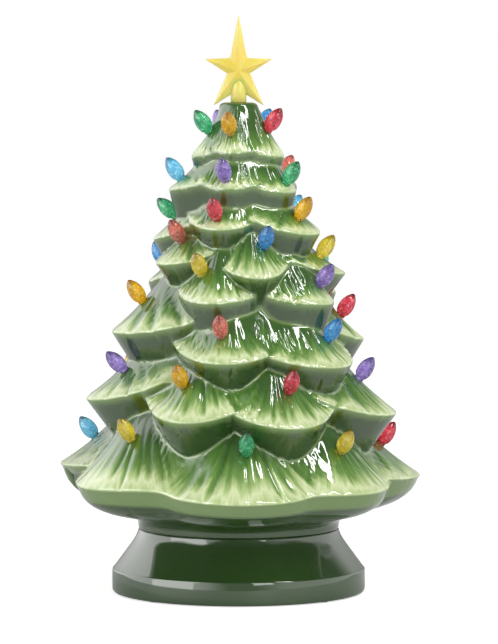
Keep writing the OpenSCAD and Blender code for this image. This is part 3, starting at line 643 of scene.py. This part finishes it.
def bulb_place(bough):
    """Turns and moves a bulb from its collar's seat at the origin to its bough."""
    turn = bough[0] + bough[7]
    z = level(bough[1]) + bough[6] * bulb_length
    slope = bough[8] if len(bough) > 8 else bulb_slope
    radius = plain_radius(np.array([float(turn)]), np.array([z]))[0]
    around = math.radians(turn)
    return (Matrix.Translation((radius * math.sin(around), -radius * math.cos(around), z))
            @ Matrix.Rotation(around, 4, "Z") @ Matrix.Rotation(math.radians(90 - slope), 4, "X")
            @ Matrix.Translation((0, 0, -pocket_depth)))


def crackle_group():
    """Crackled inside of a clear bulb: puts out flecks, painted glints on random cells, and a
    height.
    """
    group = bpy.data.node_groups.new("bulb_crackle", "ShaderNodeTree")
    for name in ("Flecks", "Painted_glint", "Height"):
        group.interface.new_socket(name, in_out="OUTPUT", socket_type="NodeSocketFloat")
    ends = group.nodes.new("NodeGroupOutput")
    place = group.nodes.new("ShaderNodeTexCoord")
    cells = add_node(group, "ShaderNodeTexVoronoi", [("Vector", place.outputs["Object"]),
                                                     ("Scale", 850.0)])
    chance = add_node(group, "ShaderNodeSeparateColor", [("Color", cells.outputs["Color"])])
    cloud = add_node(group, "ShaderNodeTexNoise", [
        ("Vector", place.outputs["Object"]), ("Scale", 420.0), ("Detail", 2.0)])
    flecks = add_node(group, "ShaderNodeMath", [
        (0, chance.outputs["Red"]), (1, 0.65), (2, cloud.outputs["Fac"])], operation="MULTIPLY_ADD")
    flecks = add_node(group, "ShaderNodeMath", [(0, flecks.outputs[0]), (1, 0.32)],
                      operation="SUBTRACT", use_clamp=True)
    # A few random cells are picked out as painted glints
    painted_glint = add_node(group, "ShaderNodeMapRange", [
        ("Value", chance.outputs["Green"]), ("From Min", 0.84), ("From Max", 1.0)])
    group.links.new(flecks.outputs[0], ends.inputs["Flecks"])
    group.links.new(painted_glint.outputs["Result"], ends.inputs["Painted_glint"])
    group.links.new(cells.outputs["Distance"], ends.inputs["Height"])
    return group


bulb_crackle = crackle_group()
bulb_tints = {
    "green": ((0.020, 0.260, 0.110), (0.110, 0.740, 0.330)),
    "amber": ((0.760, 0.330, 0.006), (1.000, 0.680, 0.018)),
    "red": ((0.480, 0.014, 0.040), (1.000, 0.110, 0.150)),
    "coral": ((0.540, 0.085, 0.065), (1.000, 0.330, 0.240)),
    "sky": ((0.070, 0.400, 0.720), (0.280, 0.800, 1.000)),
    "blue": ((0.020, 0.190, 0.580), (0.120, 0.540, 1.000)),
    "purple": ((0.200, 0.110, 0.480), (0.580, 0.420, 0.960)),
    "yellow": ((0.720, 0.480, 0.010), (1.000, 0.900, 0.110)),
}
for tint, (dark, light) in bulb_tints.items():
    whole = bmesh.new()
    for tier in tier_shares:
        for bough in tier[3]:
            if bough[5] != tint:
                continue
            one = spun(bulb_outline, steps=28)
            tip = one.verts.layers.float.new("tip")
            for vert in one.verts:
                vert[tip] = min(max(vert.co.z / bulb_length, 0), 1)
            data = bpy.data.meshes.new("bulb")
            one.to_mesh(data)
            one.free()
            data.transform(bulb_place(bough))
            whole.from_mesh(data)
            bpy.data.meshes.remove(data)
    material, tree, shader = new_material("bulb_" + tint, light, roughness=0.03, IOR=1.49,
                                          Transmission_Weight=0.55)
    crackle = add_node(tree, "ShaderNodeGroup", node_tree=bulb_crackle)
    # Flecks wander between the dark and light tint; the glint cells are painted near white
    flecks_and_glints = mixed(tree, crackle.outputs["Painted_glint"],
                    mixed(tree, crackle.outputs["Flecks"], dark, light),
                    [0.30 + 0.70 * share for share in light])
    # Towards the tip the colour darkens to a deep tint: painted shade
    along = add_node(tree, "ShaderNodeAttribute", attribute_name="tip").outputs["Fac"]
    painted_tip_shade = add_node(tree, "ShaderNodeMapRange", [
        ("Value", along), ("From Min", 0.74), ("From Max", 1.0),
        ("To Max", 0.95)]).outputs["Result"]
    tinted = mixed(tree, painted_tip_shade, flecks_and_glints, [0.4 * share for share in dark])
    tree.links.new(tinted, shader.inputs["Base Color"])
    bump = add_node(tree, "ShaderNodeBump", [
        ("Height", crackle.outputs["Height"]), ("Strength", 0.3), ("Distance", 0.3 * MM)])
    tree.links.new(bump.outputs["Normal"], shader.inputs["Normal"])
    placed("bulbs_" + tint + "_clear", whole, "tree", material, "bulbs_" + tint,
           slot="bulb_" + tint)

# The star is cast in cloudy yellow resin with bevelled arms, on a round stem whose peg drops into
# the cap.

star_low, star_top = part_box("star")
star_drop = 1.8 * MM
star_foot = cap_z - star_drop
star_height = star_top.z - star_foot
star_width = star_top.x - star_low.x
rim_half = 1.1 * MM
ridge_half = 3.5 * MM
ridge_share = 0.38
bevel_width = 0.6 * MM
# The outline from the tip round, as shares of the width and the height
star_shares = [(0, 1), (0.125, 0.52), (0.5, 0.51), (0.17, 0.352), (0.37, 0), (0, 0.17),
               (-0.37, 0), (-0.17, 0.352), (-0.5, 0.51), (-0.125, 0.52)]
mesh = bmesh.new()
rim = [mesh.verts.new((x * star_width, -rim_half, z * star_height + star_foot))
       for x, z in star_shares]
front = mesh.faces.new(rim)
solid = bmesh.ops.extrude_face_region(mesh, geom=[front])
back = [item for item in solid["geom"] if isinstance(item, bmesh.types.BMFace)]
back_rim = [item for item in solid["geom"] if isinstance(item, bmesh.types.BMVert)]
bmesh.ops.translate(mesh, vec=(0, 2 * rim_half, 0), verts=back_rim)
for face, side in ((front, -1), (back[0], 1)):
    middle = bmesh.ops.poke(mesh, faces=[face])["verts"][0]
    middle.co = (0, side * ridge_half, star_foot + ridge_share * star_height)
bmesh.ops.recalc_face_normals(mesh, faces=mesh.faces)
bmesh.ops.bevel(mesh, geom=list(mesh.edges), offset=bevel_width, offset_type="OFFSET",
                segments=2, profile=0.5, affect="EDGES", material=-1, clamp_overlap=True)
for face in mesh.faces:
    face.smooth = True
# Radius and height over the cap, in mm, from the peg's end to the stem's round head
stem_outline = [(0, -13), (2.7, -13), (3, -12.7), (3, 0), (4.6, 0), (4.9, 0.4), (4.6, 8),
                (3.8, 11.5), (2.2, 14.0), (0, 15.2)]
stem = spun([(r * MM, cap_z + z * MM) for r, z in stem_outline], steps=40)
data = bpy.data.meshes.new("stem")
stem.to_mesh(data)
stem.free()
mesh.from_mesh(data)
bpy.data.meshes.remove(data)
star_resin, tree, shader = new_material("star_resin", (0.74, 0.62, 0.12), roughness=0.30, IOR=1.5,
                                        Subsurface_Weight=0.7, Subsurface_Scale=5 * MM)
place = tree.nodes.new("ShaderNodeTexCoord")
cloud = add_node(tree, "ShaderNodeTexNoise", [
    ("Vector", place.outputs["Object"]), ("Scale", 90.0), ("Detail", 2.0)])
star_middle = (0, 0, star_foot + 0.45 * star_height)
centred = add_node(tree, "ShaderNodeVectorMath", [(0, place.outputs["Object"]), (1, star_middle)],
                   operation="DISTANCE")
outward = add_node(tree, "ShaderNodeMapRange", [
    ("Value", centred.outputs["Value"]), ("From Min", 4 * MM), ("From Max", 0.6 * star_height)])
thick = mixed(tree, cloud.outputs["Fac"], (0.70, 0.56, 0.065), (0.76, 0.63, 0.11))
tree.links.new(mixed(tree, outward.outputs["Result"], thick, (0.80, 0.75, 0.26)),
               shader.inputs["Base Color"])
bump = add_node(tree, "ShaderNodeBump", [("Height", cloud.outputs["Fac"]), ("Strength", 0.15),
                                         ("Distance", 0.4 * MM)])
tree.links.new(bump.outputs["Normal"], shader.inputs["Normal"])
placed("star_resin", mesh, "star", star_resin, "star", slot="star_plastic")

# The tree stands on a white painted sweep, in a white room whose left wall is the brightest. Soft
# boxes hang to the left, in front and high on the right.


def seen_by(tree, plain, camera, gloss, clear):
    """A strength for ordinary rays, and others for what the camera, gloss and clear plastic see."""
    path = tree.nodes.new("ShaderNodeLightPath")
    for ray, strength in (("Is Glossy Ray", gloss), ("Is Transmission Ray", clear),
                          ("Is Camera Ray", camera)):
        mix = add_node(tree, "ShaderNodeMix", [(0, path.outputs[ray]), (2, plain), (3, strength)])
        plain = mix.outputs[0]
    return plain


mesh = bmesh.new()
bmesh.ops.create_grid(mesh, x_segments=1, y_segments=1, size=4)
sweep_white, tree, shader = new_material("sweep_white", (0.82, 0.82, 0.82), roughness=0.6)
shader.inputs["Emission Color"].default_value = (1, 1, 1, 1)
tree.links.new(seen_by(tree, plain=0.0, camera=0.66, gloss=0.05, clear=0.66),
               shader.inputs["Emission Strength"])
# From below the sweep is clear, so that the battery door and the switch show
one_way = add_node(tree, "ShaderNodeMixShader", [
    (0, tree.nodes.new("ShaderNodeNewGeometry").outputs["Backfacing"]), (1, shader.outputs["BSDF"]),
    (2, tree.nodes.new("ShaderNodeBsdfTransparent").outputs["BSDF"])])
tree.links.new(one_way.outputs["Shader"], tree.nodes["Material Output"].inputs["Surface"])
data = bpy.data.meshes.new("sweep")
mesh.to_mesh(data)
mesh.free()
data.materials.append(sweep_white)
sweep = bpy.data.objects.new("sweep", data)
bpy.context.scene.collection.objects.link(sweep)

world = bpy.data.worlds.new("room")
bpy.context.scene.world = world
world.use_nodes = True
tree = world.node_tree
background = tree.nodes["Background"]
background.inputs["Color"].default_value = (1, 1, 1, 1)
room_light = 0.42
ceiling_light = 0.18
front_wall, left_wall, right_wall = 0.46, 2.6, 1.5
direction = tree.nodes.new("ShaderNodeTexCoord").outputs["Generated"]
way = add_node(tree, "ShaderNodeSeparateXYZ", [("Vector", direction)])


def eased(value, low, high, first, last):
    """An output that runs softly from first to last as a direction goes from low to high."""
    return add_node(tree, "ShaderNodeMapRange", [
        ("Value", value), ("From Min", low), ("From Max", high), ("To Min", first),
        ("To Max", last)], interpolation_type="SMOOTHSTEP").outputs["Result"]


# The left wall is bright as far as left_end and gone by front_start, and it reaches the highest
side = way.outputs["X"]
left_end, front_start = -0.75, -0.1
front_end, right_start = 0.2, 0.8
left = eased(side, left_end, front_start, left_wall, front_wall)
right = eased(side, front_end, right_start, 0.0, right_wall - front_wall)
walls = add_node(tree, "ShaderNodeMath", [(0, left), (1, right)], operation="ADD").outputs[0]
wall_top = eased(side, left_end, front_start, 0.7, 0.35)
ceiling_edge = eased(side, left_end, front_start, 1.1, 0.6)
room = eased(way.outputs["Z"], wall_top, ceiling_edge, walls, ceiling_light)
tree.links.new(seen_by(tree, plain=room_light, camera=1.0, gloss=room, clear=1.0),
               background.inputs["Strength"])


def soft_box(name, location, target, width, height, power):
    """A rectangular lamp that looks at a point."""
    light = bpy.data.lights.new(name, "AREA")
    light.shape = "RECTANGLE"
    light.size, light.size_y, light.energy = width, height, power
    lamp = bpy.data.objects.new(name, light)
    bpy.context.scene.collection.objects.link(lamp)
    lamp.location = location
    lamp.rotation_euler = (Vector(target) - Vector(location)).to_track_quat("-Z", "Y").to_euler()


soft_box("left_box", (-1.9, -1.0, 0.7), (0, 0, 0.2), width=1.8, height=1.8, power=22)
soft_box("top_box", (0.70, -0.54, 1.28), (0, 0, 0.25), width=0.15, height=1.3, power=12)
soft_box("front_box", (0.9, -2.2, 0.9), (0, 0, 0.2), width=0.8, height=1.2, power=12)

bpy.context.scene.view_settings.view_transform = "Standard"
